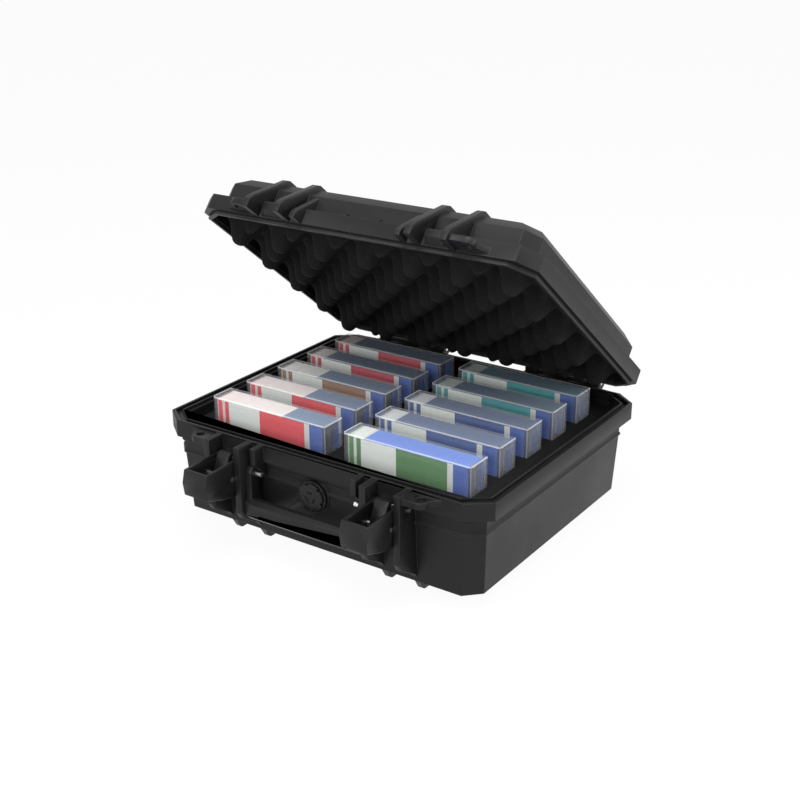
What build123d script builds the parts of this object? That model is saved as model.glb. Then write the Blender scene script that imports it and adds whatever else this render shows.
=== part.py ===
from build123d import *
import math
import os

# Rugged carry case for boxed data cassettes, lid standing open. Millimetres, +Z up.
# Origin: middle of the flat bottom. Front (latches, handle, valve) is -Y, hinge is +Y.

# ---- bowl and rim
rim_len, rim_wid = 336.0, 272.1        # outer size of the rim, X and Y
rim_cx, rim_cy = 19.5, 15.2            # corner cut of the rim
rim_top = 98.7                         # mating plane
skirt_low = 82.8                       # lower edge of the rim skirt
skirt_wall = 2.5
body_len, body_wid = 311.2, 255.1      # bowl at the top of its bottom bevel
body_cut = 13.2                        # corner cut of the bowl
draft = 3.5                            # how far each wall leans out up to the skirt
wall = 3.0
bevel_rise, bevel_in = 12.0, 18.05     # bottom bevel
band_z = (66.6, 78.6)                  # two raised bands round the bowl
band_h, band_out = 1.6, 1.1
groove_wid, groove_depth = 4.5, 3.2    # seal groove in the rim
lip_wid, lip_step = 2.0, 2.7           # inner lip and the step behind it

# ---- lid
lid_gap = 0.3                          # lid to rim when closed
lid_skirt_h = 14.2
lid_cx, lid_cy = 15.3, 14.6
dome_in, dome_wall_h = 11.1, 16.7
dome_top_in, dome_bevel_h = 19.7, 9.0
lid_wall = 3.0
lid_rim_wid = 7.5
gusset_pitch = 70.0                    # small gussets along the lid's sides
lid_open = 38.62                       # how far the lid stands open, degrees
hinge_y, hinge_z = 146.6, 99.7
pin_d = 4.0                            # every steel pin
press, run_fit = 0.01, 0.05            # radial fit of a fixed and of a turning pin
knuckle_r = 6.0
knuckle_x = (46.0, 58.0, 79.5, 91.5, 113.0, 125.0)   # base knuckles, in pairs
knuckle_gap = 0.4

# ---- seal
seal_wid, seal_side, seal_depth = 2.5, 0.05, 3.0

# ---- latch ribs
rib_front = 153.0                      # distance of the rib fronts from the middle
rib_top = 98.0
rib_outer = (95.0, 101.0)
rib_inner = (62.0, 68.5)
rib_short = (49.5, 55.0)
short_front = 147.5
lid_rib_front = 155.5

# ---- padlock ears
ear_reach, ear_thick, ear_top = 20.0, 5.5, 96.0
ear_front, ear_back, ear_web = 151.0, 136.0, 9.0
ear_hole_x, ear_hole_y, ear_hole_r = 114.3, 142.4, 3.75

# ---- latch
lever_pin_y, lever_pin_z = 140.0, 81.6
lever_in, lever_out = 69.0, 94.5       # |x| of the two cheeks' outer faces
cheek, skin = 2.6, 2.5
lever_len = 48.0
hook_in, hook_out = 75.5, 88.5
hook_dy, hook_dz = 14.65, 12.65        # hook pin from the lever pin, out and down
hook_thick, hook_lip, hook_over = 5.4, 4.0, 0.95   # plate, lip, lip above the lever pin
hook_tip = 2.7                         # how far the open hook's lip stays out from the lever pin
catch_in, catch_out = 73.5, 90.0
catch_low, catch_high, catch_front = 104.5, 111.3, 143.0

# ---- handle
handle_pin_y, handle_pin_z = 140.2, 72.9
arm_in, arm_out = 55.4, 61.6
arm_front, arm_r = 147.0, 6.6
grip_low, grip_high = 32.0, 50.5
grip_front, grip_back = 150.0, 139.2
grip_slot_x = 46.0

# ---- valve
valve_z, valve_d, valve_face = 63.3, 28.0, 137.2
valve_bore, valve_thread_len = 12.0, 11.0
boss_out = 1.4
gasket_thick, flange_thick, knob_thick, knob_d = 0.8, 2.2, 2.6, 25.0
valve_nut_af, valve_nut_h = 17.0, 3.5

# ---- foam and cassettes
foam_clear = 0.3
pad_thick = 2.4
foam_top = 86.8
box_len, box_thick = 125.6, 26.6
box_top = 112.7
box_wall = 1.6
box_r, box_top_r = 1.9, 1.3
slot_clear = 0.5
column_x = 72.25                       # middle of each column
row_first, row_pitch, rows = -89.6, 44.8, 5
box_slit = 0.4
card_thick = 0.4
cart_len, cart_thick, cart_head = 105.4, 21.5, 0.6   # cart_head: room over the cartridge
card_gap = 0.3

# ---- lid foam
finger_pitch_x, finger_pitch_y = 46.0, 25.0
finger_tip_z, finger_root_z = 83.7, 113.0
finger_root_r, finger_mid_r, finger_tip_r = 13.5, 8.5, 4.5

os.makedirs("parts", exist_ok=True)


def keep(name, shape):
    export_step(shape, "parts/" + name + ".step")


def ring(hx, hy, cx, cy, z):
    """Corners of a rectangle with cut corners at height z."""
    return [Vector(x, y, z) for x, y in (
        (hx, -hy + cy), (hx, hy - cy), (hx - cx, hy), (-hx + cx, hy),
        (-hx, hy - cy), (-hx, -hy + cy), (-hx + cx, -hy), (hx - cx, -hy))]


def outline(hx, hy, cx, cy, z):
    return Face(Wire.make_polygon(ring(hx, hy, cx, cy, z), close=True))


def taper(rings):
    """Flat-sided solid through rings of corners, one above the other."""
    faces = [Face(Wire.make_polygon(rings[0], close=True)), Face(Wire.make_polygon(rings[-1], close=True))]
    for low, high in zip(rings, rings[1:]):
        for k in range(len(low)):
            n = (k + 1) % len(low)
            faces.append(Face(Wire.make_polygon([low[k], low[n], high[n], high[k]], close=True)))
    return Solid(Shell(faces))


def prism(hx, hy, cx, cy, z0, z1):
    return extrude(outline(hx, hy, cx, cy, z0), amount=z1 - z0, dir=(0, 0, 1))


def side_plate(points, x0, x1):
    """Plate with a profile in the YZ plane, from x0 to x1."""
    face = Face(Wire.make_polygon([Vector(x0, y, z) for y, z in points], close=True))
    return extrude(face, amount=x1 - x0, dir=(1, 0, 0))


def rod(x0, x1, y, z, r):
    return Plane(origin=(x0, y, z), x_dir=(0, 1, 0), z_dir=(1, 0, 0)) * Pos(0, 0, (x1 - x0) / 2) * \
        Cylinder(r, x1 - x0)


def both(make):
    """A piece on the right and its mirror image on the left."""
    right = make()
    return right, mirror(right, Plane.YZ)


def wall_half(z, half):
    """Half size of the leaning bowl wall at height z."""
    return half + draft * (z - bevel_rise) / (skirt_low - bevel_rise)


RX, RY = rim_len / 2, rim_wid / 2
BX, BY = body_len / 2, body_wid / 2


# ---------------------------------------------------------------- bowl
def bowl_outer():
    zs = [(0.0, -bevel_in), (bevel_rise, 0.0)]
    for z in band_z:
        base = draft * (z - bevel_rise) / (skirt_low - bevel_rise)
        zs += [(z - band_out, base), (z, base + band_out), (z + band_h, base + band_out),
               (z + band_h + band_out, base + 0.05)]
    zs += [(skirt_low + 2.0, draft)]
    return taper([ring(BX + d, BY + d, body_cut, body_cut, z) for z, d in zs])


def bowl_cavity():
    inner = [(wall, -bevel_in - 1.0), (bevel_rise + 1.6, -wall), (rim_top + 5.0, draft - wall)]
    return taper([ring(BX + d, BY + d, body_cut, body_cut, z) for z, d in inner])


top_x, top_y = BX + draft, BY + draft                     # bowl wall under the rim
lip_x = RX - skirt_wall - groove_wid                      # outer face of the inner lip
lip_y = RY - skirt_wall - groove_wid
rim_floor = rim_top - groove_depth

outer_rib = [(-rib_front, rib_top), (-rib_front, 37.0), (-rib_front + 3.0, 31.5),
             (-BY - 4.0, 20.5), (-BY - 0.2, 16.0), (-118.5, 1.2), (-116.5, 0.0),
             (-104.0, 0.0), (-104.0, 8.0), (-BY + 1.0, 20.0), (-BY - 1.0, rib_top)]
short_rib = [(-short_front, rib_top), (-short_front, 84.0), (-BY - 6.0, 70.0),
             (-BY + 1.0, 68.0), (-BY - 1.0, rib_top)]


def ear(z0):
    """Padlock ear beside an outer rib: flat tongue with a round end and a slanted root."""
    x0, x1 = rib_outer[1] - 0.5, rib_outer[1] + ear_reach
    r = (ear_front - ear_back) / 2
    ym = (ear_front + ear_back) / 2
    body = Pos((x0 + x1 - r) / 2, -ym, z0 + ear_thick / 2) * Box(x1 - r - x0, 2 * r, ear_thick)
    tip = Pos(x1 - r, -ym, z0 + ear_thick / 2) * Cylinder(r, ear_thick)
    web = Face(Wire.make_polygon([Vector(x1 - r, -ear_back + 0.5, z0), Vector(x1 - 1.2, -ym, z0),
                                  Vector(x1 + ear_web, -ear_back + 0.5, z0)], close=True))
    return body + tip + extrude(web, amount=ear_thick, dir=(0, 0, 1))


base = bowl_outer()
# rim: top plate, hanging skirt and the inner lip
rim = prism(RX, RY, rim_cx, rim_cy, skirt_low, rim_top)
rim -= prism(RX - skirt_wall, RY - skirt_wall, rim_cx, rim_cy, skirt_low - 1, rim_floor - 3.5)
moulded = [rim]
for x0, x1 in (rib_outer, rib_inner):
    moulded += both(lambda: side_plate(outer_rib, x0, x1))
moulded += both(lambda: side_plate(short_rib, *rib_short))
moulded += both(lambda: ear(ear_top - ear_thick))
# flat boss for the valve
boss_y = wall_half(valve_z, BY) + boss_out
moulded.append(Pos(0, -boss_y + 2.0, valve_z) * Rot(90, 0, 0) * Cylinder(valve_d / 2 + 1.5, 4.0))
base = base + moulded
# seal groove, lip and cavity
groove = prism(RX - skirt_wall, RY - skirt_wall, rim_cx, rim_cy, rim_floor, rim_top + 1)
groove -= prism(lip_x, lip_y, rim_cx - 1.0, rim_cy - 1.0, rim_floor - 1, rim_top + 2)
base = base - [groove, prism(lip_x - lip_wid, lip_y - lip_wid, rim_cx - 2.0, rim_cy - 2.0,
                              rim_top - lip_step, rim_top + 1), bowl_cavity()]
# hinge knuckles and their brackets
bracket = [(RY - 1.0, skirt_low + 1.5), (hinge_y - 3.0, hinge_z - knuckle_r + 0.8),
           (hinge_y - 2.0, hinge_z), (hinge_y - 6.5, hinge_z - 1.2), (RY - 1.0, hinge_z - 1.2)]
knuckles = []
for k in range(0, len(knuckle_x), 2):
    x0, x1 = knuckle_x[k], knuckle_x[k + 1]
    knuckles += both(lambda: side_plate(bracket, x0, x1) + rod(x0, x1, hinge_y, hinge_z, knuckle_r))
base = base + knuckles
# pin holes, padlock holes, valve bore
fixed_r = pin_d / 2 + press
holes = [Pos(0, -BY, valve_z) * Rot(90, 0, 0) * Cylinder(valve_bore / 2 + 0.1, 20.0)]
holes += both(lambda: rod(rib_inner[0] + 2.0, rib_outer[1] + 1.0, -lever_pin_y, lever_pin_z, fixed_r))
holes += both(lambda: rod(rib_short[0] - 1.0, rib_inner[1] - 2.0, -handle_pin_y, handle_pin_z, fixed_r))
holes += both(lambda: rod(knuckle_x[0] - 1.0, knuckle_x[-1] + 1.0, hinge_y, hinge_z, fixed_r))
holes += both(lambda: Pos(ear_hole_x, -ear_hole_y, ear_top) * Cylinder(ear_hole_r, 4 * ear_thick))
base = base - holes
keep("base_shell", base)

# ---------------------------------------------------------------- base foam
pad_low = wall
pad_top = pad_low + pad_thick


def bowl_fill(z0, z1, gap):
    """What fits in the bowl between two heights, at a gap from its walls."""
    def half(z):
        if z < bevel_rise + 1.6:
            return -bevel_in - 1.0 + (z - wall) * (bevel_in + 1.0 - wall) / (bevel_rise + 1.6 - wall)
        return -wall + (z - bevel_rise - 1.6) * draft / (rim_top + 5.0 - bevel_rise - 1.6)
    zs = [z0] + [z for z in (bevel_rise + 1.6,) if z0 < z < z1] + [z1]
    return taper([ring(BX + half(z) - gap, BY + half(z) - gap, body_cut, body_cut, z) for z in zs])


keep("base_floor_pad", bowl_fill(pad_low, pad_top, 2 * foam_clear))
insert = bowl_fill(pad_top, foam_top, foam_clear)
box_low = pad_top + foam_clear
centres = [(side * column_x, row_first + k * row_pitch) for side in (-1, 1) for k in range(rows)]
slots = [Pos(x, y, (pad_top + foam_top) / 2) * Box(box_len + 2 * slot_clear,
                                                  box_thick + 2 * slot_clear, foam_top)
         for x, y in centres]
slots.append(Pos(0, -BY + 2.0, valve_z) * Box(valve_nut_af + 6, 20.0, valve_nut_af + 6))
insert = insert - slots
keep("base_foam_insert", insert)

# ---------------------------------------------------------------- lid, drawn closed and then opened
HINGE = Axis((0, hinge_y, hinge_z), (1, 0, 0))


def open_lid(shape):
    return shape.rotate(HINGE, -lid_open)


lid_low = rim_top + lid_gap
lid_step = rim_top + lid_skirt_h                           # top of the lid skirt
dome_z = lid_step + dome_wall_h
dome_top = dome_z + dome_bevel_h
DX, DY = RX - dome_in, RY - dome_in
TX, TY = RX - dome_top_in, RY - dome_top_in
dome_cut = 12.5

lid = prism(RX, RY, lid_cx, lid_cy, lid_low, lid_step)
lid += taper([ring(DX, DY, dome_cut, dome_cut, lid_step - 3), ring(DX, DY, dome_cut, dome_cut, dome_z),
              ring(TX, TY, dome_cut, dome_cut, dome_top)])

lid_rib = [(-RY + 3.0, lid_low), (-lid_rib_front, lid_low), (-lid_rib_front, 106.0),
           (-lid_rib_front + 3.0, 111.0), (-119.0, 141.8), (-115.0, 143.6), (-105.0, 143.6),
           (-101.0, dome_top - 1.0), (-TY, dome_top - 2.0), (-DY + 1.5, dome_z - 1.0),
           (-DY + 1.5, lid_step - 2.0), (-RY + 3.0, lid_step - 2.0)]
lid_short = [(-RY + 3.0, lid_low), (-149.0, lid_low), (-149.0, 103.0), (-146.5, 107.0),
             (-DY - 1.0, 127.5), (-DY + 1.5, 127.5), (-DY + 1.5, lid_step - 2.0),
             (-RY + 3.0, lid_step - 2.0)]
catch_bar = [(-RY + 2.0, catch_low - 4.0), (-RY - 0.5, catch_low - 4.0), (-catch_front, catch_low),
             (-catch_front, catch_high - 1.0), (-catch_front + 1.0, catch_high), (-RY + 2.0, catch_high)]
moulded = []
for x0, x1 in (rib_outer, rib_inner):
    moulded += both(lambda: side_plate(lid_rib, x0, x1))
moulded += both(lambda: side_plate(lid_short, *rib_short))
moulded += both(lambda: side_plate(catch_bar, catch_in, catch_out))
moulded += both(lambda: ear(ear_top + 5.5))
# small gussets on the side step
gusset = [(0.0, lid_step - 1.0), (0.0, lid_step + 7.0), (dome_in - 2.0, lid_step - 1.0)]
for y in (-gusset_pitch, 0.0, gusset_pitch):
    moulded += both(lambda: extrude(Face(Wire.make_polygon(
        [Vector(DX - 0.5 + dx, y - 1.5, z) for dx, z in gusset], close=True)),
        amount=3.0, dir=(0, 1, 0)))
front_gusset = [(-DY + 0.5, lid_step - 1.0), (-DY + 0.5, lid_step + 7.0), (-RY + 2.0, lid_step - 1.0)]
moulded += both(lambda: side_plate(front_gusset, 15.0, 18.0))
lid = lid + moulded
# cavity
lid -= prism(RX - lid_rim_wid, RY - lid_rim_wid, rim_cx - 1.5, rim_cy - 1.5, lid_low - 1,
             lid_step - lid_wall)


def dome_fill(gap, z0, z1):
    def half(z):
        return 0.0 if z <= dome_z - 1.0 else (z - dome_z + 1.0) * (dome_top_in - dome_in) / dome_bevel_h
    zs = [z0, dome_z - 1.0, z1]
    return taper([ring(DX - lid_wall - half(z) - gap, DY - lid_wall - half(z) - gap,
                       dome_cut - 1.5, dome_cut - 1.5, z) for z in zs])


lid -= dome_fill(0.0, lid_low - 1, dome_top - lid_wall)
# channel for the seal
seal_x = RX - skirt_wall - groove_wid / 2
seal_y = RY - skirt_wall - groove_wid / 2


def seal_ring(wid, z0, z1):
    bead = prism(seal_x + wid / 2, seal_y + wid / 2, rim_cx - 0.3, rim_cy - 0.3, z0, z1)
    return bead - prism(seal_x - wid / 2, seal_y - wid / 2, rim_cx - 0.7, rim_cy - 0.7, z0 - 1, z1 + 1)


lid -= seal_ring(seal_wid + 2 * seal_side, lid_low - 1, lid_low + seal_depth)
# lid knuckles between the base knuckles
lid_bracket = [(RY - 1.0, lid_low + 1.2), (hinge_y - 6.5, lid_low + 1.2), (hinge_y - 2.0, hinge_z + 0.6),
               (hinge_y - 2.2, hinge_z + knuckle_r - 0.6), (RY - 1.0, lid_step - 0.6)]
knuckles = []
for k in (1, 3):
    x0, x1 = knuckle_x[k] + knuckle_gap, knuckle_x[k + 1] - knuckle_gap
    knuckles += both(lambda: side_plate(lid_bracket, x0, x1) + rod(x0, x1, hinge_y, hinge_z, knuckle_r))
holes = list(both(lambda: rod(knuckle_x[0] - 1, knuckle_x[-1] + 1, hinge_y, hinge_z,
                              pin_d / 2 + run_fit)))
holes += both(lambda: Pos(ear_hole_x, -ear_hole_y, ear_top + 5.5) * Cylinder(ear_hole_r, 4 * ear_thick))
lid = (lid + knuckles) - holes
keep("lid_shell", open_lid(lid))
keep("lid_seal", open_lid(seal_ring(seal_wid, rim_floor + 0.3, lid_low + seal_depth - 0.02)))

# egg-crate foam: staggered round-ended fingers on a slab
foam = dome_fill(foam_clear, finger_root_z, dome_top - lid_wall - foam_clear)
span_x = DX - lid_wall - finger_root_r - 1.5
span_y = DY - lid_wall - finger_root_r - 1.5
n_y = int(2 * span_y // finger_pitch_y)
fingers = []
for j in range(n_y + 1):
    y = -n_y * finger_pitch_y / 2 + j * finger_pitch_y
    shift = (j % 2) * finger_pitch_x / 2
    n_x = int((span_x + shift) // finger_pitch_x)
    for i in range(-n_x, n_x + 1):
        x = i * finger_pitch_x + shift
        if abs(x) > span_x:
            continue
        zs = ((finger_root_z + 1.0, finger_root_r), (finger_tip_z + 6.0, finger_mid_r),
              (finger_tip_z, finger_tip_r))
        fingers.append(taper([[Vector(x + r * math.cos(math.radians(45 * k + 22.5)),
                                      y + r * math.sin(math.radians(45 * k + 22.5)), z)
                               for k in range(8)] for z, r in zs]))
foam = foam + fingers
keep("lid_foam", open_lid(foam))

# ---------------------------------------------------------------- pins
keep("hinge_pins", Compound(list(both(
    lambda: rod(knuckle_x[0] + 0.5, knuckle_x[-1] - 0.5, hinge_y, hinge_z, pin_d / 2)))))
keep("latch_pins", Compound(list(both(
    lambda: rod(rib_inner[0] + 2.4, rib_outer[1] + 0.8, -lever_pin_y, lever_pin_z, pin_d / 2)))))
keep("handle_pins", Compound(list(both(
    lambda: rod(rib_short[0] - 0.8, rib_inner[1] - 2.4, -handle_pin_y, handle_pin_z, pin_d / 2)))))


# ---------------------------------------------------------------- latch levers, hooks
def lever_points(grow):
    """Lever profile about its pin; grow > 0 shrinks the skin side inwards."""
    g = grow
    return [(3.2, -1.2), (3.2, 1.2), (1.2, 3.4), (-20.0, 3.2), (-lever_len + 2.2 + g, 2.4),
            (-lever_len - 0.8 + g, -9.0), (-lever_len + 1.0 + g, -20.6 + g),
            (-30.0, -26.2 + g), (-12.0, -29.6 + g), (-9.5, -28.0 + g), (-1.2, -3.2)]


def lever():
    at = [(-lever_pin_y + y, lever_pin_z + z) for y, z in lever_points(0.0)]
    body = side_plate(at, lever_in, lever_out)
    inside = [(20.0, 20.0), (-lever_len + 2.2 + skin, 20.0), (-lever_len + 2.2 + skin, 2.4),
              (-lever_len - 0.8 + skin, -9.0), (-lever_len + 1.0 + skin, -20.6 + skin * 0.6),
              (-30.0, -26.2 + skin), (-12.0, -29.6 + skin), (-6.0, -32.0), (20.0, -32.0)]
    at = [(-lever_pin_y + y, lever_pin_z + z) for y, z in inside]
    body -= side_plate(at, lever_in + cheek, lever_out - cheek)
    for y, z in ((0.0, 0.0), (-hook_dy, -hook_dz)):
        fit = run_fit if y == 0.0 else press
        body -= rod(lever_in - 1, lever_out + 1, -lever_pin_y + y, lever_pin_z + z, pin_d / 2 + fit)
    return body


def hook():
    hy, hz = -lever_pin_y - hook_dy, lever_pin_z - hook_dz
    front, back = -lever_pin_y - 11.0, -lever_pin_y - 11.0 + hook_thick
    lip, tip = lever_pin_z + pin_d / 2 + hook_over, -lever_pin_y - hook_tip
    top = lip + hook_lip
    prof = [(hy + 0.5, hz - 4.0), (hy + 3.6, hz - 1.5), (back, hz + 5.0), (back, lip),
            (tip, lip), (tip, lip + 1.6), (tip - 2.0, top),
            (front + 2.0, top), (front, top - 2.5), (hy - 3.6, hz + 1.5), (hy - 3.6, hz - 1.5),
            (hy - 2.0, hz - 3.6)]
    body = side_plate(prof, hook_in, hook_out)
    return body - rod(hook_in - 1, hook_out + 1, hy, hz, pin_d / 2 + run_fit)


for name, piece in zip(("right", "left"), both(lever)):
    keep("latch_lever_" + name, piece)
for name, piece in zip(("right", "left"), both(hook)):
    keep("latch_hook_" + name, piece)
for name, piece in zip(("right", "left"), both(
        lambda: rod(lever_in + 0.2, lever_out - 0.2, -lever_pin_y - hook_dy, lever_pin_z - hook_dz,
                    pin_d / 2))):
    keep("hook_pin_" + name, piece)

# ---------------------------------------------------------------- handle
arm_pts = [(-arm_front, handle_pin_z + 1.0), (-arm_front, grip_low + 6.0),
           (-grip_back + 0.0, grip_low + 6.0), (-grip_back, grip_high),
           (-handle_pin_y + arm_r, handle_pin_z - 6.0), (-handle_pin_y + arm_r, handle_pin_z)]
grip_pts = [(-grip_front + 3.0, grip_low), (-grip_back - 2.5, grip_low), (-grip_back, grip_low + 2.5),
            (-grip_back, grip_high - 2.5), (-grip_back - 2.5, grip_high), (-grip_front + 3.0, grip_high),
            (-grip_front, grip_high - 3.5), (-grip_front, grip_low + 3.5)]
handle = side_plate(grip_pts, -arm_out, arm_out)
for piece in both(lambda: side_plate(arm_pts, arm_in, arm_out)
                  + rod(arm_in, arm_out, -handle_pin_y, handle_pin_z, arm_r)):
    handle += piece
# long shallow slot low on the front of the grip
handle -= Pos(0, -grip_front, grip_low + 5.2) * Box(2 * grip_slot_x, 4.0, 2.6)
handle -= rod(-arm_out - 1, arm_out + 1, -handle_pin_y, handle_pin_z, pin_d / 2 + run_fit)
keep("handle", handle)


# ---------------------------------------------------------------- valve
def disc(r, y0, y1):
    """Disc about the valve's axis, from y0 to y1 (both measured towards the front)."""
    return Pos(0, -(y0 + y1) / 2, valve_z) * Rot(90, 0, 0) * Cylinder(r, y1 - y0)


g0 = boss_y
g1 = g0 + gasket_thick
g2 = g1 + flange_thick
keep("valve_gasket", disc(valve_d / 2 - 1.0, g0, g1) - disc(valve_bore / 2 + 0.3, g0 - 1, g1 + 1))
stem_in = g0 - wall - valve_thread_len + 3.0
valve = disc(valve_d / 2, g1, g2) + disc(valve_bore / 2, stem_in, g1)
valve -= disc(3.1, g2 - 9.0, g2 + 1)
keep("valve_body", valve)
knob = disc(knob_d / 2, g2 + 0.2, g2 + 0.2 + knob_thick) + disc(3.05, g2 - 8.5, g2 + 0.5)
knob_face = g2 + 0.2 + knob_thick
cuts = [Pos(0, -knob_face, valve_z) * Rot(0, a, 0) * Pos(4.4, 0, 0) * Box(1.6, 2.4, 5.0)
        for a in (30, 150, 270)]
cuts += [Pos(0, -knob_face, valve_z) * Rot(0, a, 0) * Pos(knob_d / 2, 0, 0) * Box(3.0, 9.0, 3.0)
         for a in range(15, 360, 60)]
knob = knob - cuts
keep("valve_knob", knob)
nut_low = valve_z - valve_nut_af / 2 - 1.5
nut_y = BY - wall + (nut_low - bevel_rise - 1.6) * draft / (rim_top + 5.0 - bevel_rise - 1.6) - 0.05
nut = Pos(0, -(nut_y - valve_nut_h / 2), valve_z) * Rot(90, 0, 0) * \
    extrude(RegularPolygon(valve_nut_af / 2, 6, major_radius=False), amount=valve_nut_h / 2, both=True)
nut -= disc(valve_bore / 2 + press, nut_y - 12, nut_y + 3)
keep("valve_nut", nut)


# ---------------------------------------------------------------- cassettes
def box_shell():
    h = box_top - box_low
    outer = Pos(0, 0, box_low + h / 2) * Box(box_len, box_thick, h)
    outer = chamfer(outer.edges().filter_by(Axis.Z), box_r)
    outer = chamfer(outer.faces().sort_by(Axis.Z)[-1].edges().filter_by(Axis.X), box_top_r)
    inner = Pos(0, 0, box_low + h / 2) * Box(box_len - 2 * box_wall, box_thick - 2 * box_wall,
                                             h - 2 * box_wall)
    outer -= inner
    # parting line of the hinged cover on three sides, the spine on top stays whole
    slit = Pos(0, 0, box_low + (h - 5.0) / 2 - 1) * Box(box_len + 2, box_slit, h - 5.0 + 2)
    outer -= slit
    # finger recess on each end
    for s in (1, -1):
        outer -= Pos(s * box_len / 2, 0, box_top - 14.0) * Box(1.6, 13.0, 16.0)
    return outer


cover_y = box_thick / 2 - box_wall                         # inner face of the box's sides
card_top = box_top - box_wall - card_gap


def card():
    h0 = box_low + box_wall + 1.0
    y1 = cover_y - card_gap
    prof = [(-y1, h0), (-y1, card_top), (y1, card_top), (y1, box_top - 30.0),
            (y1 - card_thick, box_top - 30.0), (y1 - card_thick, card_top - card_thick),
            (-y1 + card_thick, card_top - card_thick), (-y1 + card_thick, h0)]
    half = box_len / 2 - box_wall - 2.5
    return side_plate(prof, -half, half)


def cartridge():
    z0 = box_low + box_wall
    cart_h = card_top - card_thick - cart_head - z0
    body = Pos(0, 0, z0 + cart_h / 2) * Box(cart_len, cart_thick, cart_h)
    body = chamfer(body.edges().filter_by(Axis.Y), 3.0)
    body -= Pos(0, cart_thick / 2, z0 + cart_h * 0.45) * Box(32.0, 3.0, 32.0)
    body -= Pos(0, -cart_thick / 2, z0 + cart_h * 0.6) * Box(cart_len * 0.62, 1.0, cart_h * 0.35)
    return body


shell_solid, card_solid, cart_solid = box_shell(), card(), cartridge()
for n, (x, y) in enumerate(centres, start=1):
    keep("case_%d" % n, Pos(x, y, 0) * shell_solid)
    keep("card_%d" % n, Pos(x, y, 0) * card_solid)
    keep("cartridge_%d" % n, Pos(x, y, 0) * cart_solid)
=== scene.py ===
"""Cassette carry case: the looks, laid out as an add-on and run as a script."""
import bmesh
import bpy
import math
from bpy.props import FloatProperty, FloatVectorProperty, IntProperty, PointerProperty
from mathutils import Matrix, Vector


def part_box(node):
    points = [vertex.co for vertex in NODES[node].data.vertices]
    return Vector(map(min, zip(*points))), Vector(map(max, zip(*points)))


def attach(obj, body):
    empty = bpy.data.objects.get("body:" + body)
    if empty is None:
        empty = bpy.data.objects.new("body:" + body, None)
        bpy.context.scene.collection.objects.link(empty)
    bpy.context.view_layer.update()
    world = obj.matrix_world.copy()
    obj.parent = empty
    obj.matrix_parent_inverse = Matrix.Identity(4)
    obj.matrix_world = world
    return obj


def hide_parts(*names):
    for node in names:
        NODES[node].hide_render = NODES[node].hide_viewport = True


bl_info = {
    "name": "Cassette carry case",
    "version": (1, 0, 0),
    "blender": (4, 5, 0),
    "location": "View3D > Sidebar > Case",
    "description": "Dresses the rugged case, its foam and its boxed cassettes",
    "category": "Object",
}

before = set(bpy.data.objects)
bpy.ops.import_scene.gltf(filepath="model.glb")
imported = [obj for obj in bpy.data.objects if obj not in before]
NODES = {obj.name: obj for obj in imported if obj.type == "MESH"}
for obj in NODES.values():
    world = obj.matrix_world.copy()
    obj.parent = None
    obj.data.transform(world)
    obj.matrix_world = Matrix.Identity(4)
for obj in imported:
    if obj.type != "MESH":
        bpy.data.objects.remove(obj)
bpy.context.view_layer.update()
GROUPS = {}     # shader node groups made so far
MATS = {}       # finishes made so far


# ------------------------------------------------------------------ sizes and colours
class CaseColours(bpy.types.PropertyGroup):
    """Colours of the moulded case, its foam and the clear boxes."""
    shell: FloatVectorProperty(
        name="Shell", description="Moulded polymer of bowl and lid",
        default=(0.0066, 0.0066, 0.0071), size=3, subtype="COLOR", min=0, max=1)
    fitting: FloatVectorProperty(
        name="Fittings", description="Latches, handle and valve",
        default=(0.0078, 0.0078, 0.0084), size=3, subtype="COLOR", min=0, max=1)
    foam: FloatVectorProperty(
        name="Foam", description="Open-cell foam",
        default=(0.0085, 0.0085, 0.0088), size=3, subtype="COLOR", min=0, max=1)
    frost: FloatVectorProperty(
        name="Frosted box", description="Tint of the clear boxes",
        default=(0.80, 0.83, 0.86), size=3, subtype="COLOR", min=0, max=1)


class CassetteColours(bpy.types.PropertyGroup):
    """Colours that all the folded cards share."""
    paper: FloatVectorProperty(
        name="Card", description="Unprinted card",
        default=(0.80, 0.84, 0.79), size=3, subtype="COLOR", min=0, max=1)
    blue: FloatVectorProperty(
        name="Blue", description="Blue end block",
        default=(0.016, 0.085, 0.420), size=3, subtype="COLOR", min=0, max=1)


class WallSizes(bpy.types.PropertyGroup):
    """Stretch of bowl wall behind the rim skirt, up to the rim's top plate."""
    half_x: FloatProperty(
        name="Half length", description="Outer half length of the wall", default=0.1591, unit="LENGTH")
    half_y: FloatProperty(
        name="Half width", description="Outer half width of the wall", default=0.13105, unit="LENGTH")
    cut: FloatProperty(
        name="Corner cut", description="Corner cut on the inside of the wall",
        default=0.0132, unit="LENGTH")
    thick: FloatProperty(
        name="Thickness", description="Wall thickness at the rim", default=0.0036, unit="LENGTH")
    low: FloatProperty(
        name="Lower edge", description="Height where the wall goes on", default=0.0843, unit="LENGTH")
    high: FloatProperty(
        name="Upper edge", description="Height of the rim's top plate", default=0.0923, unit="LENGTH")


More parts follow.
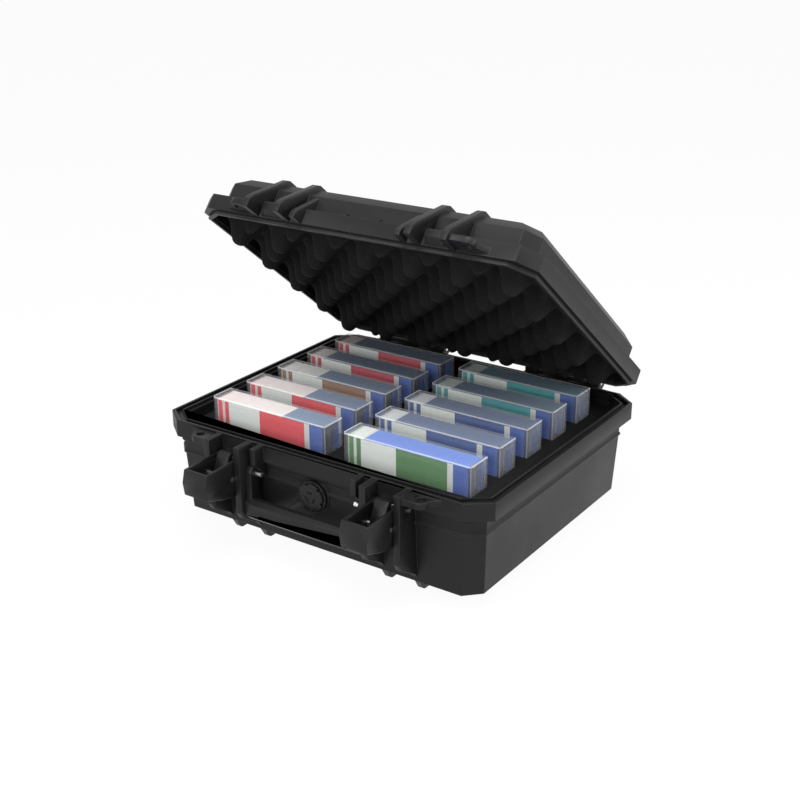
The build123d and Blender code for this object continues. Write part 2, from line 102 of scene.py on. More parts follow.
class FoamSizes(bpy.types.PropertyGroup):
    """Sizes of the egg-crate foam in the lid, with the lid closed."""
    pitch_x: FloatProperty(
        name="Pitch X", description="Finger spacing along the case", default=0.046, unit="LENGTH")
    pitch_y: FloatProperty(
        name="Pitch Y", description="Row spacing across the case", default=0.025, unit="LENGTH")
    root_z: FloatProperty(
        name="Root height", description="Height of the valleys", default=0.1105, unit="LENGTH")
    tip_z: FloatProperty(
        name="Tip height", description="Height of the finger tips", default=0.0837, unit="LENGTH")
    side_z: FloatProperty(
        name="Side height", description="Height where the sides end and the back slopes in",
        default=0.1285, unit="LENGTH")
    top_z: FloatProperty(
        name="Top height", description="Height of the flat back", default=0.1353, unit="LENGTH")
    half_x: FloatProperty(
        name="Half length", description="Half length of the slab", default=0.1536, unit="LENGTH")
    half_y: FloatProperty(
        name="Half width", description="Half width of the slab", default=0.1217, unit="LENGTH")
    cut: FloatProperty(
        name="Corner cut", description="Corner cut of the slab", default=0.011, unit="LENGTH")
    cells: IntProperty(
        name="Mesh cells", description="Grid cells along the long side", default=200, min=60, max=400)


class ViewSizes(bpy.types.PropertyGroup):
    """Camera and lights."""
    lens: FloatProperty(name="Lens", description="Focal length", default=59.066, unit="CAMERA")
    azimuth: FloatProperty(
        name="Azimuth", description="Camera bearing to the right of the front",
        default=math.radians(34.592), unit="ROTATION")
    elevation: FloatProperty(
        name="Elevation", description="Camera height angle",
        default=math.radians(22.162), unit="ROTATION")
    roll: FloatProperty(
        name="Roll", description="Camera roll", default=math.radians(-0.382), unit="ROTATION")
    place: FloatVectorProperty(
        name="Camera place", description="Where the camera stands",
        default=(0.61713, -0.89954, 0.54897), size=3, unit="LENGTH")
    key: FloatProperty(
        name="Key light", description="Power of the large soft key light", default=31.0, min=0)


# ------------------------------------------------------------------ shading helpers
def fill(tree, node, values):
    """Set a node's inputs: a socket is linked, and anything else is the input's own constant."""
    for key, value in values.items():
        if isinstance(value, bpy.types.NodeSocket):
            tree.links.new(value, node.inputs[key])
        else:
            node.inputs[key].default_value = value
    return node


def add_node(tree, kind, values):
    return fill(tree, tree.nodes.new("ShaderNode" + kind), values)


def maths(tree, operation, *values):
    node = tree.nodes.new("ShaderNodeMath")
    node.operation = operation
    return fill(tree, node, dict(enumerate(values))).outputs[0]


def map_range(tree, value, low, high, to_low, to_high, interpolation="LINEAR"):
    node = tree.nodes.new("ShaderNodeMapRange")
    node.interpolation_type = interpolation
    fill(tree, node, {"Value": value, "From Min": low, "From Max": high,
                      "To Min": to_low, "To Max": to_high})
    return node.outputs["Result"]


def mix_colour(tree, first, second, factor):
    mix = tree.nodes.new("ShaderNodeMix")
    mix.data_type = "RGBA"
    return fill(tree, mix, {"A": first, "B": second, "Factor": factor}).outputs["Result"]


def mix_tuple(first, second, share):
    """Colour between two plain ones."""
    return tuple(a * (1 - share) + b * share for a, b in zip(first[:3], second[:3])) + (1.0,)


def rgba(colour, gain=1.0):
    return tuple(min(1, channel * gain) for channel in colour) + (1.0,)


def grey(level):
    return (level, level, level, 1.0)


def new_group(name, inputs, outputs):
    """Empty shader node group, its inputs' sockets and its output node."""
    group = bpy.data.node_groups.new(name, "ShaderNodeTree")
    for label, kind, value in inputs:
        sock = group.interface.new_socket(name=label, in_out="INPUT", socket_type=kind)
        if value is not None:
            sock.default_value = value
    for label, kind in outputs:
        group.interface.new_socket(name=label, in_out="OUTPUT", socket_type=kind)
    return group, group.nodes.new("NodeGroupInput").outputs, group.nodes.new("NodeGroupOutput")


def new_finish(name):
    """New material, its node tree, its shader and the socket of the point's place."""
    mat = bpy.data.materials.new(name)
    mat.use_nodes = True
    tree = mat.node_tree
    place = tree.nodes.new("ShaderNodeTexCoord").outputs["Object"]
    return mat, tree, tree.nodes["Principled BSDF"], place


# ------------------------------------------------------------------ shared effects
NOISE_LOW, NOISE_HIGH = 0.3, 0.7        # most of a noise's values lie between these
GRAIN_DEPTH = 0.0002
GRAIN_DETAIL, BLOTCH_DETAIL = 3.0, 5.0
# where the pale edges start and where they are full: partly rubbed by use, partly a painted edge
# highlight
WEAR_AND_HIGHLIGHT_FROM, WEAR_AND_HIGHLIGHT_FULL = 0.53, 0.68       # pointiness: a flat surface has 0.5, a sharp edge more
# the painted highlight on a box's edges is full at the first distance and gone at the second; the ring
# below is a faint painted highlight line inset on each face
EDGE_BRIGHT, EDGE_PLAIN = 0.0005, 0.0017            # metres from a box's edge
RING_RISE, RING_FALL = (0.0044, 0.0049), (0.0052, 0.0057)


def grain_group():
    """Fine moulded grain as a bump normal and a mask, and broad blotches."""
    tree, given, out = new_group("Moulded grain", [
        ("Vector", "NodeSocketVector", None),
        ("Scale", "NodeSocketFloat", 1800.0),
        ("Strength", "NodeSocketFloat", 0.2),
        ("Blotch scale", "NodeSocketFloat", 18.0),
    ], [("Normal", "NodeSocketVector"), ("Fine", "NodeSocketFloat"), ("Blotch", "NodeSocketFloat")])
    place = given["Vector"]
    fine = add_node(tree, "TexNoise", {
        "Vector": place, "Scale": given["Scale"], "Detail": GRAIN_DETAIL}).outputs["Fac"]
    blotch = add_node(tree, "TexNoise", {
        "Vector": place, "Scale": given["Blotch scale"], "Detail": BLOTCH_DETAIL}).outputs["Fac"]
    bump = add_node(tree, "Bump", {
        "Distance": GRAIN_DEPTH, "Strength": given["Strength"], "Height": fine})
    fill(tree, out, {"Normal": bump.outputs["Normal"], "Fine": fine, "Blotch": blotch})
    return tree


def wear_and_highlight_group():
    """Pale convex edges, found by how pointed the mesh is there: partly rubbed paler by use, partly a
    painted edge highlight.
    """
    tree, given, out = new_group("Edge wear", [
        ("Base", "NodeSocketColor", grey(0.02)),
        ("Worn and lit", "NodeSocketColor", grey(0.1)),
        ("Amount", "NodeSocketFloat", 0.5),
        ("Mask", "NodeSocketFloat", 0.5),
    ], [("Color", "NodeSocketColor")])
    pointed = tree.nodes.new("ShaderNodeNewGeometry").outputs["Pointiness"]
    edge = map_range(tree, pointed, WEAR_AND_HIGHLIGHT_FROM, WEAR_AND_HIGHLIGHT_FULL, 0.0, 1.0)
    worn_and_lit = maths(tree, "MULTIPLY", maths(tree, "MULTIPLY", edge, given["Mask"]), given["Amount"])
    fill(tree, out, {"Color": mix_colour(tree, given["Base"], given["Worn and lit"], worn_and_lit)})
    return tree


def box_edge_group():
    """How near a point of a box is to the box's edges, and a faint ring inset on each face."""
    tree, given, out = new_group("Box edges", [
        ("Vector", "NodeSocketVector", None),
        ("Middle X", "NodeSocketFloat", 0.07225),
        ("Pitch", "NodeSocketFloat", 0.0448),
        ("Half length", "NodeSocketFloat", 0.0628),
        ("Half thickness", "NodeSocketFloat", 0.0133),
        ("Low", "NodeSocketFloat", 0.0),
        ("High", "NodeSocketFloat", 0.1),
    ], [("Edge", "NodeSocketFloat"), ("Inset", "NodeSocketFloat")])
    point = add_node(tree, "SeparateXYZ", {"Vector": given["Vector"]}).outputs

    # the place in one box, counted from its middle: two columns, and rows a pitch apart
    x = maths(tree, "ABSOLUTE", maths(
        tree, "SUBTRACT", maths(tree, "ABSOLUTE", point["X"]), given["Middle X"]))
    half_pitch = maths(tree, "MULTIPLY", given["Pitch"], 0.5)
    y = maths(tree, "ABSOLUTE", maths(
        tree, "WRAP", point["Y"], half_pitch, maths(tree, "MULTIPLY", half_pitch, -1.0)))

    # the depth under each pair of faces: on an edge, two of the three are near zero
    from_end = maths(tree, "SUBTRACT", given["Half length"], x)
    from_side = maths(tree, "SUBTRACT", given["Half thickness"], y)
    from_top = maths(tree, "MINIMUM", maths(tree, "SUBTRACT", given["High"], point["Z"]),
                     maths(tree, "SUBTRACT", point["Z"], given["Low"]))
    near = maths(tree, "MAXIMUM", maths(tree, "MINIMUM", from_end, from_side), maths(
        tree, "MINIMUM", maths(tree, "MAXIMUM", from_end, from_side), from_top))

    edge = map_range(tree, near, EDGE_BRIGHT, EDGE_PLAIN, 1.0, 0.0, "SMOOTHSTEP")
    ring = maths(tree, "MULTIPLY", map_range(tree, near, *RING_RISE, 0.0, 1.0, "SMOOTHSTEP"),
                 map_range(tree, near, *RING_FALL, 1.0, 0.0, "SMOOTHSTEP"))
    fill(tree, out, {"Edge": edge, "Inset": ring})
    return tree


def group_node(tree, make_group, values):
    """Place a shared group, which is built the first time it is asked for."""
    if make_group not in GROUPS:
        GROUPS[make_group] = make_group()
    node = tree.nodes.new("ShaderNodeGroup")
    node.node_tree = GROUPS[make_group]
    return fill(tree, node, values).outputs


# ------------------------------------------------------------------ finishes
# how pale and how strong the pale edges are: partly rubbed by use, partly a painted edge highlight
WORN_AND_LIT_GAIN, WORN_AND_LIT_AMOUNT = 6.0, 0.6
PLASTIC_SHEEN, FOAM_SHEEN = 0.22, 0.15
PORE_SCALE, PORE_DEPTH, PORE_STRENGTH = 900.0, 0.0006, 0.6


def moulded_plastic(name, colour, rough, scale=1400.0, strength=0.35):
    """Grained polymer with a soft sheen, and paler edges that are partly rubbed by use and partly a
    painted edge highlight.
    """
    mat, tree, shader, place = new_finish(name)
    grain = group_node(tree, grain_group, {"Vector": place, "Scale": scale, "Strength": strength})
    blotch = grain["Blotch"]
    # paler convex edges: partly rubbed by use, partly a painted edge highlight
    wear_and_highlight = group_node(tree, wear_and_highlight_group, {
        "Base": mix_colour(tree, rgba(colour, 0.8), rgba(colour, 1.25), blotch),
        "Worn and lit": rgba(colour, WORN_AND_LIT_GAIN), "Amount": WORN_AND_LIT_AMOUNT, "Mask": blotch})
    fill(tree, shader, {
        "Base Color": wear_and_highlight["Color"],
        "Roughness": map_range(tree, blotch, NOISE_LOW, NOISE_HIGH, rough - 0.05, rough + 0.06),
        "Normal": grain["Normal"],
        "Specular IOR Level": PLASTIC_SHEEN})
    return mat


def foam_material(name, colour):
    """Open-cell foam: pores that roughen the surface, darkened inside with painted shade."""
    mat, tree, shader, place = new_finish(name)
    cells = add_node(tree, "TexVoronoi", {"Vector": place, "Scale": PORE_SCALE}).outputs["Distance"]
    noise = add_node(tree, "TexNoise", {"Vector": place, "Scale": 60.0, "Detail": 6.0}).outputs["Fac"]
    pores = map_range(tree, cells, 0.1, 0.7, 0.0, 1.0)
    # painted shade: darker in the pores' hollows
    dark = mix_colour(tree, rgba(colour, 0.35), rgba(colour, 1.5), pores)
    tint = mix_colour(tree, dark, rgba(colour, 1.1),
                      map_range(tree, noise, NOISE_LOW, NOISE_HIGH, 0.2, 0.8))
    bump = add_node(tree, "Bump", {
        "Strength": PORE_STRENGTH, "Distance": PORE_DEPTH, "Height": cells})
    fill(tree, shader, {
        "Base Color": tint, "Normal": bump.outputs["Normal"], "Roughness": 0.95,
        "Specular IOR Level": FOAM_SHEEN})
    return mat


def rubber_material(name):
    """Dull black rubber of the seal and the valve's gasket."""
    mat, tree, shader, place = new_finish(name)
    grain = group_node(tree, grain_group, {"Vector": place, "Scale": 900.0, "Strength": 0.15})
    fill(tree, shader, {
        "Base Color": mix_colour(tree, grey(0.006), grey(0.013), grain["Blotch"]),
        "Normal": grain["Normal"], "Roughness": 0.55})
    return mat


def steel_material(name):
    """Steel pins with a fine mottle in colour and polish."""
    mat, tree, shader, place = new_finish(name)
    mottle = add_node(tree, "TexNoise", {"Vector": place, "Scale": 2200.0}).outputs["Fac"]
    fill(tree, shader, {
        "Base Color": mix_colour(tree, (0.66, 0.66, 0.67, 1), grey(0.86), mottle),
        "Roughness": map_range(tree, mottle, 0.2, 0.8, 0.25, 0.42), "Metallic": 1.0})
    return mat


def give(node, mat):
    """Put a finish on a node's own mesh."""
    materials = NODES[node].data.materials
    materials.clear()
    materials.append(mat)


class CASE_OT_materials(bpy.types.Operator):
    """Make the case's finishes and put them on the steel and rubber parts and the valve's nut"""
    bl_idname = "case.materials"
    bl_label = "Finishes"

    def execute(self, context):
        c = context.scene.case_colours
        MATS["shell"] = moulded_plastic("Moulded shell", c.shell, rough=0.46)
        MATS["fitting"] = moulded_plastic(
            "Moulded fittings", c.fitting, rough=0.38, scale=2000.0, strength=0.15)
        MATS["foam"] = foam_material("Charcoal foam", c.foam)
        MATS["rubber"] = rubber_material("Seal rubber")
        MATS["steel"] = steel_material("Steel pin")
        give("valve_nut", MATS["fitting"])
        for node in ("lid_seal", "valve_gasket"):
            give(node, MATS["rubber"])
        for node in ("hinge_pins", "latch_pins", "handle_pins", "hook_pin_left", "hook_pin_right"):
            give(node, MATS["steel"])
        return {"FINISHED"}


# ------------------------------------------------------------------ mouldings
MERGE = 1e-6            # metres between points that are the same
FLAT_ANGLE = 0.5        # degrees between faces that are one flat face
BEVEL_STEPS = 2
MOULDING_ANGLE, FOAM_ANGLE, BOX_ANGLE = 28.0, 25.0, 20.0    # sharper edges are rounded, in degrees

MOULDINGS = (           # node, body, finish, slot, edge radius
    ("base_shell", "base", "shell", "case_black", 0.0005),
    ("lid_shell", "lid", "shell", "case_black", 0.0005),
    ("handle", "handle", "fitting", "fitting", 0.0007),
    ("latch_lever_left", "lever_left", "fitting", "fitting", 0.0006),
    ("latch_lever_right", "lever_right", "fitting", "fitting", 0.0006),
    ("latch_hook_left", "hook_left", "fitting", "fitting", 0.0005),
    ("latch_hook_right", "hook_right", "fitting", "fitting", 0.0005),
    ("valve_body", "base", "fitting", "fitting", 0.0003),
    ("valve_knob", "valve_knob", "fitting", "fitting", 0.0003),
)


def new_piece(name, bm):
    """Object in the scene from a finished bmesh."""
    mesh = bpy.data.meshes.new(name)
    bm.to_mesh(mesh)
    bm.free()
    obj = bpy.data.objects.new(name, mesh)
    bpy.context.scene.collection.objects.link(obj)
    return obj


def shade_smooth(obj):
    for face in obj.data.polygons:
        face.use_smooth = True


def new_verts(made):
    """Points in what an extrude gives back."""
    return [item for item in made["geom"] if isinstance(item, bmesh.types.BMVert)]


def softened_copy(node, name, width, angle, moulded=False):
    """Merged copy of a node's solid with rounded edges, smooth all over where it is moulded."""
    bm = bmesh.new()
    bm.from_mesh(NODES[node].data)
    bmesh.ops.remove_doubles(bm, verts=bm.verts, dist=MERGE)
    bmesh.ops.dissolve_limit(
        bm, angle_limit=math.radians(FLAT_ANGLE), verts=bm.verts, edges=bm.edges)
    obj = new_piece(name, bm)
    soft = obj.modifiers.new("Soft edges", "BEVEL")
    soft.width = width
    soft.segments = BEVEL_STEPS
    soft.limit_method = "ANGLE"
    soft.angle_limit = math.radians(angle)
    soft.harden_normals = moulded
    soft.use_clamp_overlap = not moulded
    if moulded:
        shade_smooth(obj)
    return obj


class CASE_OT_mouldings(bpy.types.Operator):
    """Bowl, lid, latches, handle and valve with the small radius that moulded edges have"""
    bl_idname = "case.mouldings"
    bl_label = "Mouldings"

    def execute(self, context):
        for node, body, finish, slot, radius in MOULDINGS:
            soft = softened_copy(node, "moulded_" + node, radius, MOULDING_ANGLE, moulded=True)
            soft.data.materials.append(MATS[finish])
            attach(soft, body)
            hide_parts(node)
        return {"FINISHED"}


class CASE_OT_bowl_wall(bpy.types.Operator):
    """Top stretch of the bowl's wall, between the bowl and the rim's top plate"""
    bl_idname = "case.bowl_wall"
    bl_label = "Bowl wall"

    def execute(self, context):
        s = context.scene.wall_sizes
        outer_cut = s.cut + s.thick * (2 - math.sqrt(2))    # keeps the wall even round the corner
        bm = bmesh.new()
        grid = bmesh.ops.create_grid(
            bm, x_segments=1, y_segments=1, size=1.0,
            matrix=Matrix.Translation((0, 0, s.low)) @ Matrix.Diagonal((s.half_x, s.half_y, 1, 1)))
        bmesh.ops.bevel(bm, geom=grid["verts"], offset=outer_cut, offset_type="OFFSET", segments=1,
                        profile=0.5, affect="VERTICES", material=-1)
        bmesh.ops.inset_region(
            bm, faces=bm.faces[:], thickness=s.thick, use_boundary=True, use_even_offset=True)
        middle = max(bm.faces, key=lambda face: face.calc_area())
        bmesh.ops.delete(bm, geom=[middle], context="FACES_ONLY")
        raised = bmesh.ops.extrude_face_region(bm, geom=bm.faces[:])
        bmesh.ops.translate(bm, vec=(0, 0, s.high - s.low), verts=new_verts(raised))
        bmesh.ops.recalc_face_normals(bm, faces=bm.faces)
        wall = new_piece("bowl_wall_top", bm)
        wall.data.materials.append(MATS["shell"])
        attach(wall, "base")
        return {"FINISHED"}


# ------------------------------------------------------------------ foam
HINGE = Vector((0, 0.1466, 0.0997))         # a point on the lid's pins
LID_OPENS = math.radians(-38.62)            # from closed to the way the lid stands at rest
CLOSED_TO_OPEN = (Matrix.Translation(HINGE) @ Matrix.Rotation(LID_OPENS, 4, "X")
                  @ Matrix.Translation(-HINGE))
ROW_START = -0.1                    # y of the middle of one row of fingers
FINGER_SHARE = 0.62                 # more makes fingers wider and valleys narrower
FINGER_FADE = 0.004                 # distance from the slab's edge in which fingers start
LEAN, LEAN_WAVE, LEAN_START = 0.0016, 9.0, 3.0      # fingers lean a little, each its own way
BACK_SLOPE = 0.0062                 # how far the flat back lies inside the sides
BASE_FOAMS = (                      # node, piece, edge radius
    ("base_foam_insert", "soft_foam_insert", 0.0009),
    ("base_floor_pad", "soft_floor_pad", 0.0006),
)


def clamp(value):
    return max(0.0, min(1.0, value))


class CASE_OT_lid_foam(bpy.types.Operator):
    """Egg-crate foam of the lid: staggered round fingers raised from one sheet"""
    bl_idname = "case.lid_foam"
    bl_label = "Lid foam"

    def execute(self, context):
        s = context.scene.foam_sizes
        bm = bmesh.new()
        bmesh.ops.create_grid(
            bm, x_segments=s.cells, y_segments=int(s.cells * s.half_y / s.half_x), size=1.0,
            matrix=Matrix.Diagonal((s.half_x, s.half_y, 1, 1)))
        for side_x in (1, -1):
            for side_y in (1, -1):
                bmesh.ops.bisect_plane(
                    bm, geom=bm.verts[:] + bm.edges[:] + bm.faces[:], dist=MERGE,
                    plane_co=(side_x * (s.half_x - s.cut), side_y * s.half_y, 0),
                    plane_no=(side_x, side_y, 0), clear_outer=True)

        depth = s.root_z - s.tip_z
        for v in bm.verts:
            wave = math.cos(2 * math.pi * v.co.x / s.pitch_x) * \
                math.cos(math.pi * (v.co.y - ROW_START) / s.pitch_y)
            rise = clamp((wave + FINGER_SHARE) / (1 + FINGER_SHARE))
            rise = rise * rise * (3 - 2 * rise)
            edge = min(s.half_x - abs(v.co.x), s.half_y - abs(v.co.y))
            rise *= clamp(edge / FINGER_FADE)
            v.co.z = s.root_z - depth * rise
            v.co.y += LEAN * rise * math.sin(LEAN_WAVE * v.co.x + LEAN_START)

        rim = [e for e in bm.edges if e.is_boundary]
        for height, inset in ((s.side_z, 0.0), (s.top_z, BACK_SLOPE)):
            sides = bmesh.ops.extrude_edge_only(bm, edges=rim)
            for v in new_verts(sides):
                v.co.z = height
                v.co.x -= math.copysign(min(inset, abs(v.co.x)), v.co.x)
                v.co.y -= math.copysign(min(inset, abs(v.co.y)), v.co.y)
            rim = [item for item in sides["geom"] if isinstance(item, bmesh.types.BMEdge)]
        bmesh.ops.holes_fill(bm, edges=rim, sides=0)
        bmesh.ops.recalc_face_normals(bm, faces=bm.faces)
        bmesh.ops.transform(bm, matrix=CLOSED_TO_OPEN, verts=bm.verts)
        foam = new_piece("egg_crate_foam", bm)
        shade_smooth(foam)
        foam.data.materials.append(MATS["foam"])
        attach(foam, "lid")
        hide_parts("lid_foam")
        return {"FINISHED"}


class CASE_OT_base_foam(bpy.types.Operator):
    """Slotted foam block and the thin sheet under it, with soft cut edges"""
    bl_idname = "case.base_foam"
    bl_label = "Base foam"

    def execute(self, context):
        for node, name, radius in BASE_FOAMS:
            soft = softened_copy(node, name, radius, FOAM_ANGLE)
            soft.data.materials.append(MATS["foam"])
            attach(soft, "base")
            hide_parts(node)
        return {"FINISHED"}


# ------------------------------------------------------------------ cassettes
CARTRIDGE_COLOUR = (0.02, 0.024, 0.045)
BOX_RADIUS = 0.0007
CARD_WHITE = (0.70, 0.71, 0.68, 1)
PALE_TOP = 0.3          # a spine whose pale share is more has a pale end
PRINTS = {              # main colour, pale share of the spine, the spine's own colour
    1: ((0.80, 0.022, 0.040), 0.62, (0.045, 0.110, 0.220)),
    2: ((0.78, 0.022, 0.045), 0.52, (0.040, 0.095, 0.200)),
    3: ((0.300, 0.150, 0.065), 0.36, (0.035, 0.088, 0.190)),
    4: ((0.58, 0.018, 0.055), 0.17, (0.028, 0.072, 0.165)),
    5: ((0.62, 0.030, 0.060), 0.17, (0.028, 0.068, 0.155)),
    6: ((0.045, 0.200, 0.030), 0.17, (0.022, 0.130, 0.560)),
    7: ((0.028, 0.085, 0.330), 0.17, (0.024, 0.070, 0.200)),
    8: ((0.024, 0.078, 0.300), 0.17, (0.022, 0.064, 0.185)),
    9: ((0.012, 0.330, 0.350), 0.20, (0.018, 0.090, 0.180)),
    10: ((0.012, 0.350, 0.360), 0.20, (0.026, 0.150, 0.230)),
}
FOLD_LOW, FOLD_HIGH = 0.0026, 0.0024        # the spine starts this far under the box's top
PRINT_MOTTLE = 0.05
# milkier edge on than face on: partly the frosting, partly a painted grazing reflection
VEIL_AND_REFLECTION = (0.04, 0.22)                         # how milky a box is face on, and edge on
# the edges and the inset ring add a painted highlight; the grain adds the frosting's own uneven
# milkiness
EDGE_HIGHLIGHT, RING_HIGHLIGHT, GRAIN_MILK = 0.34, 0.05, (-0.02, 0.03)     # what each adds to that


def print_bands(tree, across, stops):
    """Bands of flat colour along one axis; each stop is where a band starts, and its colour."""
    ramp = tree.nodes.new("ShaderNodeValToRGB")
    ramp.color_ramp.interpolation = "CONSTANT"
    bands = ramp.color_ramp.elements
    while len(bands) > 1:
        bands.remove(bands[-1])
    bands[0].position, bands[0].color = stops[0]
    for place, colour in stops[1:]:
        bands.new(place).color = colour
    return fill(tree, ramp, {"Fac": across}).outputs["Color"]


def card_material(n, colours):
    """Folded card: bands of colour on its faces, and its spine on top."""
    low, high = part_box("case_%d" % n)
    main, pale_share, spine = PRINTS[n]
    main, spine, paper, blue = rgba(main), rgba(spine), rgba(colours.paper), rgba(colours.blue)
    pale = mix_tuple(CARD_WHITE, main, 0.12)
    mat, tree, shader, place = new_finish("Printed card %d" % n)
    point = add_node(tree, "SeparateXYZ", {"Vector": place}).outputs
    along = map_range(tree, point["X"], low.x, high.x, 0.0, 1.0)
    face = print_bands(tree, along, [
        (0.0, mix_tuple(main, CARD_WHITE, 0.55)), (0.040, main), (0.076, CARD_WHITE),
        (0.098, main), (0.134, paper), (0.417, main), (0.809, CARD_WHITE), (0.855, blue)])
    top = print_bands(tree, along, [
        (0.0, mix_tuple(main, CARD_WHITE, 0.6)), (0.05, pale),
        (0.14, mix_tuple(main, CARD_WHITE, 0.75)),
        (0.16, pale if pale_share > PALE_TOP else spine), (pale_share, spine)])
    fold = map_range(tree, point["Z"], high.z - FOLD_LOW, high.z - FOLD_HIGH, 0.0, 1.0)
    noise = add_node(tree, "TexNoise", {"Vector": place, "Scale": 220.0}).outputs["Fac"]
    mottle = map_range(tree, noise, 0.3, 0.9, 0.0, PRINT_MOTTLE)
    fill(tree, shader, {
        "Base Color": mix_colour(tree, mix_colour(tree, face, top, fold), grey(0.5), mottle),
        "Roughness": map_range(tree, noise, NOISE_LOW, NOISE_HIGH, 0.35, 0.5)})
    return mat


def frosted_plastic(name, colour):
    """Milky clear box: the faces show the card, and the thick edges turn white with a painted
    highlight, with a faint painted highlight line inset on each face; edge on the box is milkier,
    partly from a painted grazing reflection.
    """
    low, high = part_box("case_1")
    next_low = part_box("case_2")[0]
    mat, tree, shader, place = new_finish(name)
    grain = group_node(tree, grain_group, {
        "Vector": place, "Scale": 700.0, "Strength": 0.10, "Blotch scale": 45.0})
    edges = group_node(tree, box_edge_group, {
        "Vector": place, "Middle X": -(low.x + high.x) / 2, "Pitch": next_low.y - low.y,
        "Half length": (high.x - low.x) / 2, "Half thickness": (high.y - low.y) / 2,
        "Low": low.z, "High": high.z})
    body = mix_colour(tree, rgba(colour, 0.90), rgba(colour), grain["Blotch"])
    # milkier edge on: partly the frosting, partly a painted grazing reflection
    facing = add_node(tree, "LayerWeight", {"Blend": 0.25}).outputs["Facing"]
    milk_and_highlight = map_range(tree, facing, 0.0, 1.0, *VEIL_AND_REFLECTION)
    # painted highlight on the box's edges, and a faint painted highlight line inset on each face
    milk_and_highlight = maths(tree, "MULTIPLY_ADD", edges["Edge"], EDGE_HIGHLIGHT, milk_and_highlight)
    milk_and_highlight = maths(tree, "MULTIPLY_ADD", edges["Inset"], RING_HIGHLIGHT, milk_and_highlight)
    milk_and_highlight = maths(tree, "ADD", milk_and_highlight,
                 map_range(tree, grain["Fine"], NOISE_LOW, NOISE_HIGH, *GRAIN_MILK))
    fill(tree, shader, {
        # paler base colour near the edges: painted highlight
        "Base Color": mix_colour(tree, body, rgba(colour, 1.35), edges["Edge"]),
        "Roughness": map_range(tree, grain["Blotch"], NOISE_LOW, NOISE_HIGH, 0.20, 0.34),
        "Normal": grain["Normal"],
        "Alpha": milk_and_highlight})
    return mat


class CASE_OT_cassettes(bpy.types.Operator):
    """Boxes, printed cards and cartridges"""
    bl_idname = "case.cassettes"
    bl_label = "Cassettes"

    def execute(self, context):
        colours = context.scene.cassette_colours
        frost = frosted_plastic("Frosted box", context.scene.case_colours.frost)
        dark = moulded_plastic("Cartridge shell", CARTRIDGE_COLOUR, rough=0.4)
        for n in PRINTS:
            box = softened_copy("case_%d" % n, "frosted_box_%d" % n, BOX_RADIUS, BOX_ANGLE)
            box.data.materials.append(frost)
            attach(box, "cassette_%d" % n)
            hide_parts("case_%d" % n)
            give("card_%d" % n, card_material(n, colours))
            give("cartridge_%d" % n, dark)
        return {"FINISHED"}


# ------------------------------------------------------------------ stage
FLOOR_HALF, FLOOR_DROP = 30.0, 0.0004       # the floor lies just under the case's own floor
FLOOR_GLOW = 0.95                           # how much of the floor is plain white to the camera
WORLD_LIGHT = 0.42
SENSOR_WIDTH = 36.0
CLIP_NEAR, CLIP_FAR = 0.05, 100.0
LAMPS = (                                   # name, place, aim, size, share of the key light's power
    ("key_top", (0.2, -0.45, 1.65), (0, 0, 0.1), (1.3, 1.3), 1.0),
    ("side_right", (1.6, 0.5, 0.7), (0.1, 0, 0.1), (1.0, 1.0), 0.60),
    ("front_fill", (0.2, -1.8, 0.75), (0, 0, 0.1), (1.2, 0.8), 0.38),
)


def show_white(tree, lit, white, output, share=1.0):
    """Blend in a white shader for camera, glossy and transmission rays, and no others."""
    path = tree.nodes.new("ShaderNodeLightPath").outputs
    direct = maths(tree, "MAXIMUM", path["Is Camera Ray"], path["Is Glossy Ray"])
    direct = maths(tree, "MAXIMUM", direct, path["Is Transmission Ray"])
    mix = add_node(tree, "MixShader", {
        "Fac": maths(tree, "MULTIPLY", direct, share), 1: lit, 2: white})
    fill(tree, output, {"Surface": mix.outputs["Shader"]})


def add_floor():
    bm = bmesh.new()
    bmesh.ops.create_grid(bm, x_segments=1, y_segments=1, size=FLOOR_HALF,
                          matrix=Matrix.Translation((0, 0, -FLOOR_DROP)))
    floor = new_piece("floor", bm)
    mat = bpy.data.materials.new("White floor")
    mat.use_nodes = True
    tree = mat.node_tree
    paint = fill(tree, tree.nodes["Principled BSDF"], {
        "Base Color": grey(0.80), "Roughness": 0.9, "Specular IOR Level": 0.1})
    glow = add_node(tree, "Emission", {"Strength": 1.0})
    show_white(tree, paint.outputs["BSDF"], glow.outputs["Emission"],
               tree.nodes["Material Output"], FLOOR_GLOW)
    floor.data.materials.append(mat)


def add_world(scene):
    scene.world = bpy.data.worlds.new("Studio")
    scene.world.use_nodes = True
    tree = scene.world.node_tree
    light = fill(tree, tree.nodes["Background"], {"Color": grey(1.0), "Strength": WORLD_LIGHT})
    white = add_node(tree, "Background", {"Color": grey(1.0), "Strength": 1.0})
    show_white(tree, light.outputs["Background"], white.outputs["Background"],
               tree.nodes["World Output"])


def add_lamp(scene, name, place, aim, size, power):
    data = bpy.data.lights.new(name, "AREA")
    data.shape = "RECTANGLE"
    data.size, data.size_y = size
    data.energy = power
    lamp = bpy.data.objects.new(name, data)
    scene.collection.objects.link(lamp)
    lamp.location = place
    lamp.rotation_euler = (Vector(aim) - Vector(place)).to_track_quat("-Z", "Y").to_euler()


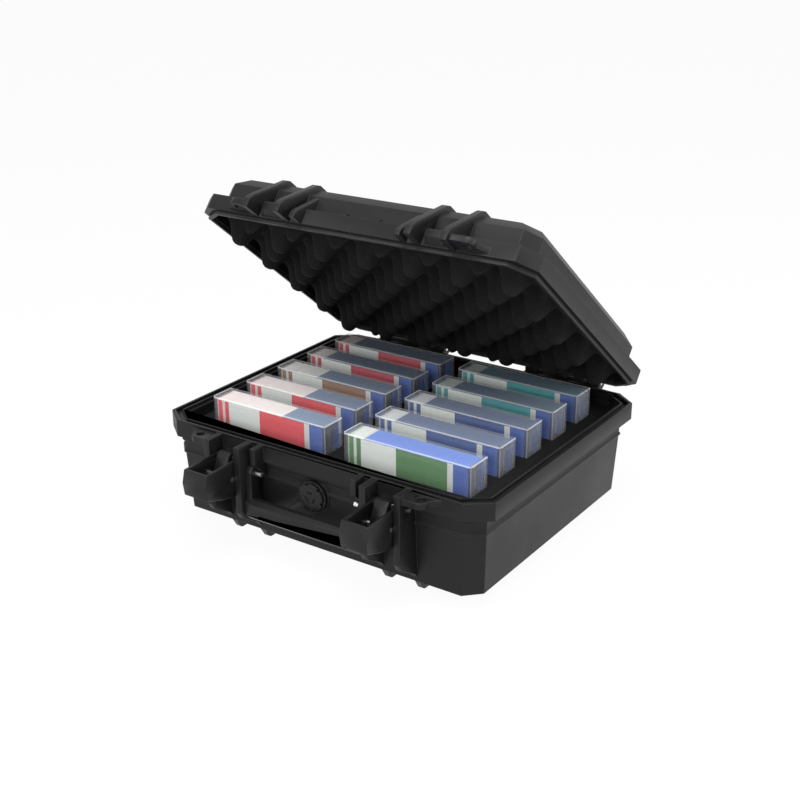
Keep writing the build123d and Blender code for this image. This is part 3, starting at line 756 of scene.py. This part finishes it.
def add_camera(scene, view):
    data = bpy.data.cameras.new("view")
    data.lens = view.lens
    data.sensor_width = SENSOR_WIDTH
    data.clip_start, data.clip_end = CLIP_NEAR, CLIP_FAR
    camera = bpy.data.objects.new("view", data)
    scene.collection.objects.link(camera)
    azimuth, elevation, roll = view.azimuth, view.elevation, view.roll
    backward = Vector((math.sin(azimuth) * math.cos(elevation),
                       -math.cos(azimuth) * math.cos(elevation), math.sin(elevation)))
    right = Vector((math.cos(azimuth), math.sin(azimuth), 0))
    up = backward.cross(right)
    rolled_right = right * math.cos(roll) + up * math.sin(roll)
    rolled_up = -right * math.sin(roll) + up * math.cos(roll)
    matrix = Matrix((rolled_right, rolled_up, backward)).transposed().to_4x4()
    matrix.translation = Vector(view.place)
    camera.matrix_world = matrix
    scene.camera = camera


class CASE_OT_stage(bpy.types.Operator):
    """White floor, soft light and the camera at the photographed angle"""
    bl_idname = "case.stage"
    bl_label = "Stage"

    def execute(self, context):
        scene = context.scene
        view = scene.view_sizes
        add_floor()
        add_world(scene)
        for name, place, aim, size, share in LAMPS:
            add_lamp(scene, name, place, aim, size, view.key * share)
        add_camera(scene, view)
        scene.view_settings.view_transform = "Standard"
        return {"FINISHED"}


# ------------------------------------------------------------------ add-on
class CASE_PT_panel(bpy.types.Panel):
    """Steps that dress the case"""
    bl_idname = "CASE_PT_panel"
    bl_label = "Carry case"
    bl_space_type = "VIEW_3D"
    bl_region_type = "UI"
    bl_category = "Case"

    def draw(self, context):
        for step in STEPS:
            self.layout.operator(step.bl_idname)


STEPS = (CASE_OT_materials, CASE_OT_mouldings, CASE_OT_bowl_wall, CASE_OT_lid_foam,
         CASE_OT_base_foam, CASE_OT_cassettes, CASE_OT_stage)
SIZES = {"case_colours": CaseColours, "cassette_colours": CassetteColours, "wall_sizes": WallSizes,
         "foam_sizes": FoamSizes, "view_sizes": ViewSizes}
CLASSES = tuple(SIZES.values()) + STEPS + (CASE_PT_panel,)


def register():
    for cls in CLASSES:
        bpy.utils.register_class(cls)
    for key, cls in SIZES.items():
        setattr(bpy.types.Scene, key, PointerProperty(type=cls))


def unregister():
    for key in SIZES:
        delattr(bpy.types.Scene, key)
    for cls in reversed(CLASSES):
        bpy.utils.unregister_class(cls)


def main():
    register()
    bpy.ops.case.materials()
    bpy.ops.case.mouldings()
    bpy.ops.case.bowl_wall()
    bpy.ops.case.lid_foam()
    bpy.ops.case.base_foam()
    bpy.ops.case.cassettes()
    bpy.ops.case.stage()
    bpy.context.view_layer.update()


if __name__ == "__main__":
    main()
